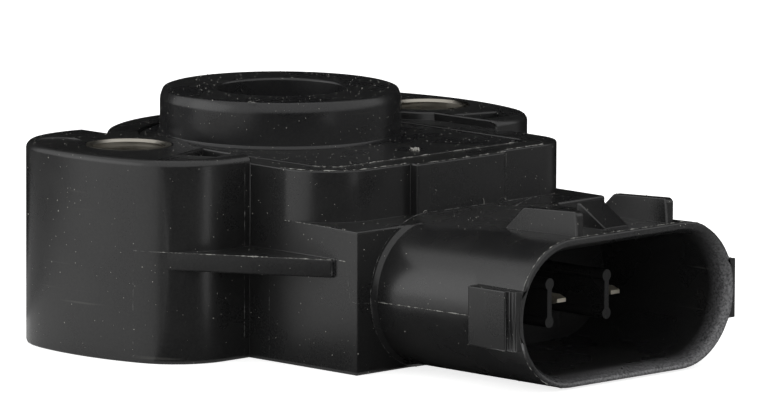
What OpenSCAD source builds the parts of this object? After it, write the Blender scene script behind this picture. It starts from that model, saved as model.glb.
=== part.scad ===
// Throttle position sensor with a locating collar and a three-way socket.
// The origin is on the collar axis at the flat base, with +Z along the axis.
// +X points to the short ear and -Y to the mouth of the connector.

/* [Mounting ears] */
// Distance between the two mounting holes
hole_pitch = 38.1; // [37.8:0.1:38.6]
// Height of the mounting ears above the base
ear_h = 18.3; // [18:0.1:18.8]
// Reach of the long ear from the collar axis
long_ear_reach = 26.1; // [25.4:0.1:27]
// Reach of the short ear from the collar axis
short_ear_reach = 24.5; // [24.3:0.1:26]
// Distance of the flat ear faces in front of the collar axis
ear_front = 12.2; // [11.8:0.1:13]
// Outer radius of the steel bushings
bushing_r = 3.83; // [3.7:0.01:4]
// Radius of the screw holes in the bushings
bushing_bore_r = 3.25; // [3:0.01:3.4]

/* [Body] */
// Width of the rim around the cover
rim_w = 2.88; // [2.6:0.01:3.2]
// Height of the rim around the cover
body_h = 17.55; // [17:0.05:17.8]
// Height of the lower block
block_h = 12.9; // [12:0.05:13.4]
// Distance of the lower block's front wall from the collar axis
block_front = 25.77; // [25:0.01:27]
// Distance of the upper body's front wall from the collar axis
upper_front = 22; // [21.6:0.05:22.6]
// Thickness of the floor
floor_t = 2.6; // [2.2:0.1:2.8]

/* [Collar and cover] */
// Radius of the locating collar
collar_r = 11; // [10.6:0.05:11.4]
// Height of the collar's top above the base
collar_top = 21.7; // [21:0.1:23]
// Radius of the bore that guides the rotor
collar_bore_r = 6; // [5.9:0.05:6.2]
// Thickness of the cover plate
cover_t = 2.5; // [2.2:0.1:2.8]
// Distance from the collar to the edge of the cover's pocket
cover_margin = 1.9; // [1.8:0.01:2.2]

/* [Connector] */
// Length of the connector shell from the block to its mouth
shell_l = 18.03; // [17:0.01:19]
// Radius of the shell's round ends at the mouth
shell_r = 6.6; // [6.5:0.05:6.8]
// Half distance between the centres of the round ends
shell_half = 7.1; // [6.9:0.05:7.3]
// Sideways offset of the connector from the collar axis
shell_x = -0.15; // [-0.3:0.05:0]
// Distance between the terminals
terminal_pitch = 6.9; // [6.7:0.05:7.1]
// Length of the terminals in front of the socket floor
terminal_reach = 7; // [6:0.1:8]

/* [Rotor] */
// Turn of the rotor from rest to its far stop, in degrees
travel = 110; // [90:1:110]
// Turns of the return spring
spring_turns = 5; // [4:1:5]
// Radial clearance of the rotor in the collar bore
running_fit = 0.05; // [0.03:0.01:0.08]

/* [Hidden] */
$fn = 72;
small = 0.01;
cut = 1;
sink = 0.1;
play = 0.05;
fine_fn = 24;

// Ears
hole_x = hole_pitch / 2;
ear_corner_r = 6.5;
ear_back_r = 10.5;
ear_back_shift = 0.95;
ear_back_c = [hole_x - ear_back_shift, sink];
long_ear_back_corner_r = 7;
short_ear_back_corner_r = 2.5;
ear_back_end = 125;
ear_root_x = 13;
ear_edge_r = 0.65;
ear_edge_steps = 4;
ear_step_x = 15.6;
ear_boss_r = 5.5;
ear_pocket_d = 0.8;
ear_pocket = [[20.3, -7.7], [15.9, -6.3], [16.1, -10.2], [18.8, -10.9]];
ejector_mark = [-22.1, 6];
ejector_mark_r = 2.1;
ejector_mark_d = 0.12;
bushing_edge = 0.25;

// Radii from the printed track out to the chamber wall, each with its room
track_out = 9.3;
track_cover = 0.7;
disc_r = track_out + track_cover;
lug_reach = 1;
lug_r = disc_r + lug_reach;
lug_play = 0.4;
chamber_r = lug_r + lug_play;
ledge_w = 1.5;

// Body outline
pocket_half_w = max(collar_r + cover_margin, chamber_r + ledge_w);
body_half_w = pocket_half_w + rim_w;
back_r = body_half_w + 2 * small;
blend_r = 3;
upper_corner_left = 5.5;
upper_corner_right = 4;
pad_x = 0.2;
pad_half_w = 5.6;
pad_proud = 0.95;
pad_overlap = 0.3;
pad_bottom = block_h - pad_overlap;
web_z = 8.48;
web_t = 1.62;
web_ear_angle = -35.3;
web_end_w = 0.35;
web_end_y = -22.93;

// Chambers behind the cover
ledge_z = body_h - play - cover_t;
front_rim_w = 2.65;
pocket_front = upper_front - front_rim_w;
pocket_corner = 2;
chamber_front = pocket_front - ledge_w + play;
seam_w = 0.5;
seam_depth = 0.3;
cover_half_w = pocket_half_w - seam_w;
cover_top = ledge_z + cover_t;

// Cores under the body, which keep the walls thin
core_pitch = 4.8;
core_w = 3.6;
core_l = 4.8;
core_h = 4.5;
core_gap = 1.5;
core_y = -(chamber_front + core_l / 2 + core_gap);
core_count = 6;
ear_core_h = 13;
ear_cores = [[19.6, -8.1, 2.1], [17.2, 7, 2]];

// Collar
collar_bevel_w = 0.3;
collar_bevel_h = 0.85;
collar_foot_r = 0.25;
bore_edge = 0.15;

// Connector shell
shell_base_r = 6.4;
shell_lift = 0.2;
shell_wall = 1;
shell_flare_w = 0.45;
shell_flare_l = 0.45;
shell_mouth_y = -(block_front + shell_l);
shell_tilt = atan((shell_r - shell_base_r) / shell_l);
shell_root = 1.2;
socket_r = shell_r - shell_wall;
socket_z = shell_r + sink;
socket_floor_l = 2.93;
socket_floor_y = -(block_front + socket_floor_l);
socket_lead_w = 0.5;
socket_lead_r = socket_r + socket_lead_w;
socket_lead_l = 1;
key_x = 14.35;
key_z = [4.1, 9.4];
key_start_l = 12.3;
key_start_y = -(block_front + key_start_l);
key_step_l = 1.15;
key_step_d = 0.35;
key_end_gap = 0.12;
key_ridges = 2;
key_ridge_pitch = 0.42;
key_ridge_w = 0.2;
key_ridge_h = 0.15;
divider_x = 0.35;
divider_half_pitch = 3.65;
divider_t = 0.55;
divider_h = 4.45;
divider_bead_r = 0.53;
divider_drop = 0.17;
divider_z = socket_z - divider_drop;
divider_end_l = 11.63;
divider_end_y = -(block_front + divider_end_l);

// Latch on top of the shell
fin_x = [-6.25, 5.25];
fin_t = 0.9;
fin_profile = [[8.53, 12.4], [8.53, 13.1], [10.93, 15.3], [17.15, 15.6], [17.55, 15.3], [17.55, 12.4]];
ramp_half_w = 1.5;
ramp_profile = [[12.83, 12.4], [12.83, 15.4], [13.33, 15.4], [16.43, 13.5], [16.43, 12.4]];

// Terminals
terminal_w = 1.5;
terminal_t = 0.8;
terminal_drop = 0.48;
terminal_z = socket_z - terminal_drop;
terminal_tip_w = 1.1;
terminal_tip_t = 0.35;
terminal_tip_l = 1;
terminal_tip_y = socket_floor_y - terminal_reach;
terminal_leg_inset = 2;
terminal_leg_y = -(chamber_front - terminal_leg_inset);
terminal_bend_r = 0.4;

// Element board and what is printed on it
board_t = 0.9;
board_gap = 1.2;
board_r = chamber_r - board_gap;
board_side_gap = 0.1;
board_half_w = track_out + board_side_gap;
board_play = 0.3;
board_y = -(chamber_front - board_play);
board_neck_y = -3;
board_hole_r = 4.1;
board_z = floor_t + board_t;
peg = [4.2, -12.5];
peg_r = 0.75;
peg_hole_r = peg_r + play;
peg_head_r = 1.15;
peg_head_h = 0.5;
film_t = 0.1;
film_z = board_z + film_t;
track_w = 1.4;
track_in = track_out - track_w;
track_overrun = 15;
ring_in = 5.1;
ring_out = 6.3;
trace_w = 1.1;
trace_x = track_in + track_w / 2;
trace_turn_y = -10;
trace_pad = 1.5;
solder_r = 1.4;
solder_top_r = 0.75;
solder_h = 1;

// Rotor
finger_room = 1.95;
disc_z = film_z + finger_room;
disc_t = 1.65;
disc_top = disc_z + disc_t;
hub_r = collar_bore_r - running_fit;
rotor_proud = 1.8;
rotor_top = cover_top + rotor_proud;
hub_edge = 0.3;
post_r = 2.5;
post_l = 2.15;
post_top = disc_z + post_l;
post_edge = 0.3;
shoulder_r = 3.9;
shoulder_z = disc_z - play;
pivot_room = 0.3;
pivot_top = post_top + pivot_room;
drive_r = 3.5;
drive_flat = 2.4;
drive_floor_t = 0.8;
drive_floor = pivot_top + drive_floor_t;
seal_wire_r = 0.53;
seal_groove_r = 4.9;
seal_groove_w = 1.3;
seal_drop = 0.55;
seal_z = cover_top - seal_drop;
seal_r = seal_groove_r + seal_wire_r - small;
rest_angle = 35;
lug_half = 8;
stop_in = disc_r + lug_play;
stop_width = 10;
stop_gap = 1.6;
clip_w = 2.8;
clip_t = 0.3;
clip_rise = 0.85;
clip_low = drive_floor + clip_rise;
clip_drop = 1.8;
clip_high = cover_top - clip_drop;
clip_bow = 0.9;
clip_pocket_y = 3.4;
clip_play = 0.15;

// Wiper fingers, drawn with the contact line along +X
wiper_t = 0.25;
wiper_edge_x = track_out - play;
wiper_corner = 0.45;
wiper_plate = [[5, -4.4], [wiper_edge_x - wiper_corner, -4.4], [wiper_edge_x, -3.6],
               [wiper_edge_x, -2.1], [5, -2.1]];
finger_pitch = 0.4;
finger_margin = 0.3;
ring_margin = 0.2;
wiper_outer = [for (i = [0:2]) track_in + finger_margin + i * finger_pitch];
wiper_inner = [for (i = [2:-1:0]) ring_out - ring_margin - i * finger_pitch];
finger_w = 0.26;
finger_t = 0.2;
finger_tip = 0.9;
finger_lift = 0.03;
stake_margin = 0.2;
stake_x = [ring_out - stake_margin, track_in + stake_margin];
stake_y = -3.2;
stake_r = 0.45;
stake_head_r = 0.75;
stake_head_h = 0.25;

// Return spring
wire_r = 0.5;
wire_sides = 8;
ring_steps = 20;
spring_r = 7.2;
spring_low = disc_top + wire_r + play;
spring_high = ledge_z - wire_r - play;
spring_angle = 200;
leg_bend = 10;
leg_drop = 1.7;
leg_hole_r = 0.6;

plastic = "#242426";
plastic_light = "#2b2b2e";
rubber = "#141414";
steel = "#b9bab6";
spring_steel = "#8d9096";
tin = "#c2c0b8";
board_green = "#d9d6c8";
carbon = "#1b1a1a";
silver = "#b8b4a6";
rotor_tan = "#4a4a44";

// Points of an arc about c, from angle a0 to angle a1
function arc(c, r, a0, a1, n) =
    [for (i = [0:n]) c + r * [cos(a0 + (a1 - a0) * i / n), sin(a0 + (a1 - a0) * i / n)]];
function direction(p) = atan2(p[1], p[0]);
function reverse(v) = [for (i = [len(v) - 1:-1:0]) v[i]];

// Outline of the short or long ear on the +X side, drawn inset by an amount
function near_corner(reach) =
    [sqrt(pow(reach - ear_corner_r, 2) - pow(ear_front - ear_corner_r, 2)),
     ear_corner_r - ear_front];
function far_corner_angle(reach, corner_r) =
    let (a = reach - corner_r, b = norm(ear_back_c), c = ear_back_r - corner_r)
    direction(ear_back_c) + acos((a * a + b * b - c * c) / (2 * a * b));
function ear_outline(reach, corner_r, inset) =
    let (near = near_corner(reach), far_a = far_corner_angle(reach, corner_r),
         far = (reach - corner_r) * [cos(far_a), sin(far_a)],
         back_a = direction(far - ear_back_c))
    concat(
        [[ear_root_x, inset - ear_front]],
        arc(near, ear_corner_r - inset, -90, direction(near), 8),
        arc([0, 0], reach - inset, direction(near), far_a, 12),
        arc(far, corner_r - inset, far_a, back_a, 6),
        arc(ear_back_c, ear_back_r - inset, back_a, ear_back_end, 12));

// An ear with a rounded top edge
module ear(side, reach, corner_r) {
    mirror([side < 0 ? 1 : 0, 0, 0])
        hull() {
            linear_extrude(ear_h - ear_edge_r) polygon(ear_outline(reach, corner_r, 0));
            for (i = [1:ear_edge_steps]) {
                a = 90 * i / ear_edge_steps;
                translate([0, 0, ear_h - ear_edge_r * (1 - sin(a)) - small])
                    linear_extrude(small)
                        polygon(ear_outline(reach, corner_r, ear_edge_r * (1 - cos(a))));
            }
        }
}

// Rectangle from the axis to its front with two rounded front corners
module fronted_plan(half_w, front, r_left, r_right) {
    r_max = max(r_left, r_right);
    translate([r_left - half_w, -front]) square([2 * half_w - r_left - r_right, front]);
    translate([-half_w, r_left - front]) square([r_max + small, front - r_left]);
    translate([half_w - r_max - small, r_right - front]) square([r_max + small, front - r_right]);
    translate([r_left - half_w, r_left - front]) circle(r_left);
    translate([half_w - r_right, r_right - front]) circle(r_right);
}

// Plan of the cover, its pocket or the rotor chamber
module chamber_plan(half_w, front, corner) {
    circle(half_w);
    fronted_plan(half_w, front, corner, corner);
}

// Concave blend between the round back of the body and the back of an ear
module ear_blend() {
    a = back_r + blend_r;
    b = norm(ear_back_c);
    c = ear_back_r + blend_r;
    angle = direction(ear_back_c) + acos((a * a + b * b - c * c) / (2 * a * b));
    centre = a * [cos(angle), sin(angle)];
    difference() {
        polygon([[0, 0], ear_back_c, centre]);
        translate(centre) circle(blend_r);
    }
}

// Outer form of the body without ears and connector
module body_form() {
    linear_extrude(body_h) {
        circle(back_r);
        fronted_plan(body_half_w, upper_front, upper_corner_left, upper_corner_right);
        ear_blend();
        mirror([1, 0]) ear_blend();
    }
    translate([-body_half_w, -block_front, 0]) cube([2 * body_half_w, block_front, block_h]);
    translate([pad_x - pad_half_w, -upper_front - pad_proud, pad_bottom])
        cube([2 * pad_half_w, pad_proud + cut, body_h - pad_bottom]);
}

// Thin web in the corner between an ear and the block
module corner_web(side, reach) {
    start = near_corner(reach)
        + (ear_corner_r - sink) * [cos(web_ear_angle), sin(web_ear_angle)];
    mirror([side < 0 ? 1 : 0, 0, 0])
        translate([0, 0, web_z])
            linear_extrude(web_t)
                polygon([start, [ear_root_x, start[1]], [ear_root_x, web_end_y],
                         [body_half_w + web_end_w, web_end_y]]);
}

// Tapered shell with its flat side just above the base plane
module shell_form() {
    length = shell_l + shell_root;
    root_y = -(block_front - shell_root);
    root_r = shell_base_r - (shell_r - shell_base_r) * shell_root / shell_l;
    intersection() {
        union() {
            for (x = [-shell_half, shell_half])
                translate([shell_x + x, root_y, shell_lift + root_r])
                    rotate([90 - shell_tilt, 0, 0])
                        translate([0, 0, -cut])
                            cylinder(h = length + 2 * cut,
                                     r1 = root_r - (shell_r - root_r) * cut / length,
                                     r2 = shell_r + (shell_r - root_r) * cut / length);
            translate([shell_x - shell_half, 0, 0])
                rotate([90, 0, 90])
                    linear_extrude(2 * shell_half)
                        polygon([[shell_mouth_y, shell_lift], [root_y, shell_lift],
                                 [root_y, shell_lift + 2 * root_r],
                                 [shell_mouth_y, shell_lift + 2 * shell_r]]);
        }
        translate([shell_x - 2 * body_half_w, shell_mouth_y, 0])
            cube([4 * body_half_w, length, 3 * shell_r]);
    }
    shell_flare();
    for (side = [-1, 1]) shell_key(side);
}

// Flare where the shell leaves the block
module shell_flare() {
    r_wide = shell_base_r + shell_flare_w;
    r_end = shell_base_r - sink;
    z = shell_lift + shell_base_r;
    intersection() {
        union() {
            for (x = [-shell_half, shell_half])
                translate([shell_x + x, sink - block_front, z])
                    rotate([90, 0, 0])
                        cylinder(h = shell_flare_l + sink, r1 = r_wide, r2 = r_end);
            translate([shell_x - shell_half, -block_front, z])
                rotate([90, 0, 90])
                    linear_extrude(2 * shell_half)
                        polygon([[sink, -r_wide], [sink, r_wide],
                                 [-shell_flare_l, r_end], [-shell_flare_l, -r_end]]);
        }
        translate([-body_half_w, -block_front - cut, 0])
            cube([2 * body_half_w, 2 * cut, block_h]);
    }
}

// Flat polarity key on a side of the shell, with a ridged step at the mouth
module shell_key(side) {
    end_y = shell_mouth_y + key_end_gap;
    step_y = shell_mouth_y + key_step_l;
    root_x = shell_half + socket_r;
    step_x = key_x - key_step_d;
    height = key_z[1] - key_z[0];
    translate([shell_x, 0, key_z[0]])
        mirror([side < 0 ? 1 : 0, 0, 0]) {
            translate([root_x, step_y, 0]) cube([key_x - root_x, key_start_y - step_y, height]);
            translate([root_x, end_y, 0]) cube([step_x - root_x, step_y - end_y + small, height]);
            for (i = [1:key_ridges])
                translate([root_x, step_y - i * key_ridge_pitch, 0])
                    cube([step_x + key_ridge_h - root_x, key_ridge_w, height]);
        }
}

// Hollow of the socket with its lead-in at the mouth
module socket_hollow() {
    depth = socket_floor_y - shell_mouth_y;
    flare = (socket_lead_r - socket_r) / socket_lead_l;
    wide_r = socket_lead_r + flare * cut;
    for (x = [-shell_half, shell_half])
        translate([shell_x + x, socket_floor_y, socket_z])
            rotate([90, 0, 0]) {
                cylinder(h = depth, r = socket_r);
                translate([0, 0, depth - socket_lead_l])
                    cylinder(h = socket_lead_l + cut, r1 = socket_r, r2 = wide_r);
            }
    translate([shell_x - shell_half, 0, 0])
        rotate([90, 0, 90])
            linear_extrude(2 * shell_half)
                polygon([[socket_floor_y, socket_z + socket_r],
                         [shell_mouth_y + socket_lead_l, socket_z + socket_r],
                         [shell_mouth_y - cut, socket_z + wide_r],
                         [shell_mouth_y - cut, socket_z - wide_r],
                         [shell_mouth_y + socket_lead_l, socket_z - socket_r],
                         [socket_floor_y, socket_z - socket_r]]);
}

// Divider between two terminals, a thin bar with a bead along each edge
module divider(x) {
    length = socket_floor_y - divider_end_y + cut;
    z_low = divider_z - divider_h / 2 + divider_bead_r;
    z_high = divider_z + divider_h / 2 - divider_bead_r;
    translate([shell_x + x - divider_t / 2, divider_end_y, z_low])
        cube([divider_t, length, z_high - z_low]);
    for (z = [z_low, z_high])
        translate([shell_x + x, divider_end_y + length, z])
            rotate([90, 0, 0]) cylinder(h = length, r = divider_bead_r, $fn = fine_fn);
}

// Extrudes a profile of reach and height across x, with the reach along -Y
module across(x, width, profile) {
    translate([x, -block_front, 0])
        rotate([90, 0, 90])
            linear_extrude(width) polygon([for (p = profile) [-p[0], p[1]]]);
}

module latch() {
    for (x = fin_x) across(x, fin_t, fin_profile);
    across(-ramp_half_w, 2 * ramp_half_w, ramp_profile);
}

// Part of a disc between two angles
module sector(r, height, a0, a1) {
    far = 2 * r;
    middle = (a0 + a1) / 2;
    intersection() {
        cylinder(h = height, r = r);
        translate([0, 0, -cut])
            linear_extrude(height + 2 * cut)
                polygon([[0, 0], far * [cos(a0), sin(a0)],
                         far * [cos(middle), sin(middle)], far * [cos(a1), sin(a1)]]);
    }
}

// Rib on the chamber wall that stops the rotor's lug
module stop_rib(a0, a1) {
    translate([0, 0, floor_t - small])
        difference() {
            sector(chamber_r + 2 * sink, ledge_z - floor_t, a0, a1);
            translate([0, 0, -cut]) cylinder(h = body_h, r = stop_in);
        }
}

module terminal_slot(x) {
    translate([x - terminal_w / 2, socket_floor_y - small, terminal_z - terminal_t / 2])
        cube([terminal_w, -chamber_front - socket_floor_y + 2 * small, terminal_t]);
}

module housing() {
    color(plastic)
    union() {
        difference() {
            union() {
                body_form();
                difference() {
                    union() {
                        ear(-1, long_ear_reach, long_ear_back_corner_r);
                        ear(1, short_ear_reach, short_ear_back_corner_r);
                    }
                    difference() {
                        translate([-ear_step_x, -body_half_w, body_h])
                            cube([2 * ear_step_x, 2 * body_half_w, cut]);
                        for (x = [-hole_x, hole_x])
                            translate([x, 0, 0]) cylinder(h = body_h + 2 * cut, r = ear_boss_r);
                    }
                }
                corner_web(-1, long_ear_reach);
                corner_web(1, short_ear_reach);
                shell_form();
                latch();
            }
            socket_hollow();
            translate([0, 0, ledge_z])
                linear_extrude(body_h) chamber_plan(pocket_half_w, pocket_front, pocket_corner);
            translate([0, 0, floor_t])
                linear_extrude(body_h) chamber_plan(chamber_r, chamber_front, pocket_corner);
            for (x = [-hole_x, hole_x])
                translate([x, 0, -cut]) cylinder(h = ear_h + 2 * cut, r = bushing_r);
            for (side = [-1, 1]) ear_hollows(side);
            translate([ejector_mark[0], ejector_mark[1], ear_h - ejector_mark_d])
                cylinder(h = cut, r = ejector_mark_r);
            for (i = [0:core_count - 1])
                translate([(i - (core_count - 1) / 2) * core_pitch - core_w / 2,
                           core_y - core_l / 2, -cut])
                    cube([core_w, core_l, core_h + cut]);
            for (i = [-1:1]) terminal_slot(shell_x + i * terminal_pitch);
        }
        for (side = [-1, 1]) divider(divider_x + side * divider_half_pitch);
        pivot_post();
        for (side = [-1, 1]) board_peg(side);
        stop_rib(rest_angle - lug_half - stop_gap - stop_width, rest_angle - lug_half - stop_gap);
        stop_rib(rest_angle + travel + lug_half + stop_gap,
                 rest_angle + travel + lug_half + stop_gap + stop_width);
    }
}

// Shallow pocket in an ear's top and the round cores in its underside
module ear_hollows(side) {
    mirror([side < 0 ? 1 : 0, 0, 0]) {
        translate([0, 0, ear_h - ear_pocket_d]) linear_extrude(cut) polygon(ear_pocket);
        for (core = ear_cores)
            translate([core[0], core[1], -cut]) cylinder(h = ear_core_h + cut, r = core[2]);
    }
}

// Post on the floor that the rotor turns on, with a shoulder that carries it
module pivot_post() {
    rotate_extrude()
        polygon([[0, floor_t - small], [shoulder_r, floor_t - small], [shoulder_r, shoulder_z],
                 [post_r, shoulder_z], [post_r, post_top - post_edge],
                 [post_r - post_edge, post_top], [0, post_top]]);
}

// Peg with a flattened head that holds the board down
module board_peg(side) {
    translate([side * peg[0], peg[1], floor_t - small]) {
        cylinder(h = board_t + 2 * small, r = peg_r, $fn = fine_fn);
        translate([0, 0, board_t + small]) cylinder(h = peg_head_h, r = peg_head_r, $fn = fine_fn);
    }
}

module collar_cover() {
    color(plastic_light)
    difference() {
        union() {
            translate([0, 0, ledge_z])
                linear_extrude(cover_t)
                    chamber_plan(cover_half_w, pocket_front - seam_w, pocket_corner - seam_w);
            rotate_extrude()
                polygon([[0, ledge_z], [collar_r + collar_foot_r, ledge_z],
                         [collar_r + collar_foot_r, cover_top],
                         [collar_r, cover_top + collar_foot_r],
                         [collar_r, collar_top - collar_bevel_h],
                         [collar_r - collar_bevel_w, collar_top], [0, collar_top]]);
        }
        translate([0, 0, ledge_z - cut])
            cylinder(h = collar_top - ledge_z + 2 * cut, r = collar_bore_r);
        translate([0, 0, collar_top - bore_edge])
            cylinder(h = bore_edge + small, r1 = collar_bore_r, r2 = collar_bore_r + bore_edge);
        spring_leg_hole(ledge_z - cut, leg_drop + cut, spring_end_angle() + leg_bend);
    }
}

// Bead of sealant that fills the seam around the cover
module cover_seal() {
    color(rubber)
    translate([0, 0, ledge_z])
        linear_extrude(cover_t - seam_depth)
            difference() {
                chamber_plan(pocket_half_w, pocket_front, pocket_corner);
                chamber_plan(cover_half_w, pocket_front - seam_w, pocket_corner - seam_w);
            }
}

module bushing(x) {
    color(steel)
    translate([x, 0, 0])
        rotate_extrude()
            polygon([[bushing_bore_r + bushing_edge, 0], [bushing_r, 0], [bushing_r, ear_h],
                     [bushing_bore_r + bushing_edge, ear_h],
                     [bushing_bore_r, ear_h - bushing_edge], [bushing_bore_r, bushing_edge]]);
}
module left_bushing() { bushing(-hole_x); }
module right_bushing() { bushing(hole_x); }

// Flat terminal with a coined tip and a leg bent down to the board
module terminal(place) {
    x = shell_x + place * terminal_pitch;
    z_low = terminal_z - terminal_t / 2;
    z_high = terminal_z + terminal_t / 2;
    inner = [terminal_leg_y - terminal_bend_r, z_low - terminal_bend_r];
    color(tin)
    intersection() {
        translate([x - terminal_w / 2, 0, 0])
            rotate([90, 0, 90])
                linear_extrude(terminal_w)
                    polygon(concat(
                        [[terminal_tip_y, terminal_z - terminal_tip_t / 2],
                         [terminal_tip_y + terminal_tip_l, z_low]],
                        arc(inner, terminal_bend_r, 90, 0, 4),
                        [[terminal_leg_y, film_z], [terminal_leg_y + terminal_t, film_z]],
                        arc(inner, terminal_bend_r + terminal_t, 0, 90, 6),
                        [[terminal_tip_y + terminal_tip_l, z_high],
                         [terminal_tip_y, terminal_z + terminal_tip_t / 2]]));
        translate([x, 0, 0])
            linear_extrude(body_h)
                polygon([[-terminal_tip_w / 2, terminal_tip_y],
                         [terminal_tip_w / 2, terminal_tip_y],
                         [terminal_w / 2, terminal_tip_y + terminal_tip_l], [terminal_w / 2, 0],
                         [-terminal_w / 2, 0], [-terminal_w / 2, terminal_tip_y + terminal_tip_l]]);
    }
}
module terminal_1() { terminal(-1); }
module terminal_2() { terminal(0); }
module terminal_3() { terminal(1); }

module element_board() {
    color(board_green)
    translate([0, 0, floor_t])
        linear_extrude(board_t)
            difference() {
                union() {
                    circle(board_r);
                    translate([-board_half_w, board_y])
                        square([2 * board_half_w, board_neck_y - board_y]);
                }
                circle(board_hole_r);
                for (side = [-1, 1]) translate([side * peg[0], peg[1]]) circle(peg_hole_r, $fn = fine_fn);
            }
}

// Printed carbon arc that the outer fingers run on
module resistive_track() {
    color(carbon)
    translate([0, 0, board_z])
        difference() {
            sector(track_out, film_t, rest_angle - track_overrun, rest_angle + travel + track_overrun);
            translate([0, 0, -cut]) cylinder(h = 3 * cut, r = track_in);
        }
}

// Printed ring that the inner fingers run on
module collector_track() {
    color(silver)
    translate([0, 0, board_z])
        linear_extrude(film_t)
            difference() {
                circle(ring_out);
                circle(ring_in);
            }
}

// Conductor from the carbon arc's end, or from the ring, to its solder pad
module trace(place) {
    end = place < 0 ? rest_angle + travel + track_overrun : rest_angle - track_overrun;
    pad = [shell_x + place * terminal_pitch, terminal_leg_y + terminal_t / 2];
    out = place * (trace_x + trace_w / 2);
    in = place * (trace_x - trace_w / 2);
    end_y = pad[1] - trace_pad / 3;
    outline = [track_in * [cos(end), sin(end)], track_out * [cos(end), sin(end)],
               [out, 0], [out, trace_turn_y], [pad[0] + place * trace_w / 2, end_y],
               [pad[0] - place * trace_w / 2, end_y], [in, trace_turn_y], [in, 0]];
    color(silver)
    translate([0, 0, board_z])
        linear_extrude(film_t)
            difference() {
                union() {
                    translate(pad - [trace_pad, trace_pad]) square(2 * trace_pad);
                    if (place == 0)
                        translate([pad[0] - trace_w / 2, pad[1]])
                            square([trace_w, -pad[1] - ring_in]);
                    else
                        polygon(place < 0 ? outline : reverse(outline));
                }
                circle(ring_out);
            }
}
module trace_1() { trace(-1); }
module trace_2() { trace(0); }
module trace_3() { trace(1); }

// Solder cone around a terminal's leg
module solder(place) {
    color(tin)
    difference() {
        translate([shell_x + place * terminal_pitch, terminal_leg_y + terminal_t / 2, film_z])
            cylinder(h = solder_h, r1 = solder_r, r2 = solder_top_r, $fn = 32);
        terminal(place);
    }
}
module solder_1() { solder(-1); }
module solder_2() { solder(0); }
module solder_3() { solder(1); }

module rotor() {
    color(rotor_tan)
    union() {
        difference() {
            union() {
                rotate_extrude()
                    polygon([[0, disc_z], [disc_r, disc_z], [disc_r, disc_top], [hub_r, disc_top],
                             [hub_r, seal_z - seal_groove_w / 2],
                             [seal_groove_r, seal_z - seal_groove_w / 2],
                             [seal_groove_r, seal_z + seal_groove_w / 2],
                             [hub_r, seal_z + seal_groove_w / 2],
                             [hub_r, rotor_top - hub_edge], [hub_r - hub_edge, rotor_top],
                             [0, rotor_top]]);
                translate([0, 0, disc_z])
                    sector(lug_r, disc_t, rest_angle - lug_half, rest_angle + lug_half);
            }
            translate([0, 0, disc_z - cut])
                cylinder(h = pivot_top - disc_z + cut, r = post_r + play);
            translate([0, 0, drive_floor])
                linear_extrude(rotor_top)
                    intersection() {
                        circle(drive_r);
                        translate([-drive_r, -drive_r]) square([2 * drive_r, drive_r + drive_flat]);
                    }
            translate([-clip_w / 2 - clip_play, 0, clip_low - clip_play])
                cube([clip_w + 2 * clip_play, clip_pocket_y, clip_high - clip_low + 2 * clip_play]);
            spring_leg_hole(disc_z - cut, disc_t + 2 * cut, spring_angle - leg_bend);
        }
        for (x = stake_x)
            rotate([0, 0, rest_angle])
                translate([x, stake_y, disc_z - wiper_t - stake_head_h]) {
                    cylinder(h = wiper_t + stake_head_h + small, r = stake_r, $fn = fine_fn);
                    cylinder(h = stake_head_h, r = stake_head_r, $fn = fine_fn);
                }
    }
}

// Contact plate under the disc with two groups of springy fingers
module wiper_contact() {
    plate_z = disc_z - wiper_t;
    color(spring_steel)
    rotate([0, 0, rest_angle]) {
        translate([0, 0, plate_z])
            linear_extrude(wiper_t)
                difference() {
                    polygon(wiper_plate);
                    for (x = stake_x) translate([x, stake_y]) circle(stake_r, $fn = fine_fn);
                }
        for (x = concat(wiper_outer, wiper_inner)) wiper_finger(x, plate_z);
    }
}

module wiper_finger(x, plate_z) {
    root_y = wiper_plate[3][1] - wiper_t;
    low = film_z + finger_lift;
    translate([x - finger_w / 2, 0, 0])
        rotate([90, 0, 90])
            linear_extrude(finger_w)
                polygon([[root_y, plate_z], [root_y + wiper_t, plate_z],
                         [-finger_t, low], [finger_t, low],
                         [finger_tip, low + finger_tip / 2],
                         [finger_tip - finger_t, low + finger_tip / 2 + finger_t],
                         [0, low + finger_t],
                         [root_y + 2 * wiper_t, plate_z + finger_t],
                         [root_y + 2 * wiper_t, disc_z], [root_y, disc_z]]);
}

module shaft_seal() {
    color(rubber)
    translate([0, 0, seal_z]) rotate_extrude() translate([seal_r, 0]) circle(seal_wire_r, $fn = fine_fn);
}

// Bowed leaf that presses the driving shaft against the round side of its socket
module drive_clip() {
    half = (clip_high - clip_low) / 2;
    bow_r = (half * half + clip_bow * clip_bow) / (2 * clip_bow);
    half_angle = asin(half / bow_r);
    centre = [clip_pocket_y - clip_t - clip_bow + bow_r, (clip_high + clip_low) / 2];
    color(spring_steel)
    intersection() {
        translate([-clip_w / 2, 0, 0])
            rotate([90, 0, 90])
                linear_extrude(clip_w)
                    polygon(concat(arc(centre, bow_r, 180 - half_angle, 180 + half_angle, 16),
                                   arc(centre, bow_r - clip_t, 180 + half_angle,
                                       180 - half_angle, 16)));
        translate([-drive_r, -drive_r, clip_low])
            cube([2 * drive_r, drive_r + clip_pocket_y, clip_high - clip_low]);
    }
}

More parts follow.
